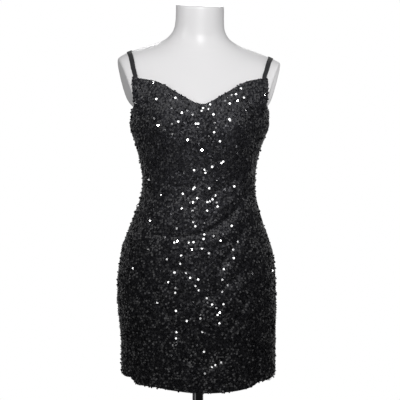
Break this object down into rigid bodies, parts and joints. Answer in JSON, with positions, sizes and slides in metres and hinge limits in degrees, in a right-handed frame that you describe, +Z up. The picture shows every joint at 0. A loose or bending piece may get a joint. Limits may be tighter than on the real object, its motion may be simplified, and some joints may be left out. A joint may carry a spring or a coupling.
{
  "type": "cocktail dress on a limbless dress form",
  "caption": "Short fitted black sequinned cocktail dress with thin straps and a sweetheart neckline, standing on a white limbless dress form with a pole and a round base.",
  "frame": {"origin": "centre of the round base's underside, on the floor", "axes": "+Z up, the dress's front faces -Y, and +X is the wearer's left"},
  "size_m": [0.3688, 0.34, 1.5331],
  "materials": {
    "sequinned_cloth": "black stretch knit covered with overlapping glossy black sequins",
    "strap_elastic": "flat dark grey elastic",
    "form_lacquer": "glossy white lacquered fibreglass",
    "stand_chrome": "polished chrome plating"
  },
  "bodies": {
    "root": {"front_panel": "sequinned_cloth", "back_panel": "sequinned_cloth", "strap_left": "strap_elastic", "strap_right": "strap_elastic", "form_torso": "form_lacquer", "form_pole": "stand_chrome", "base_collar": "stand_chrome", "base_plate": "stand_chrome"}
  },
  "joints": []
}
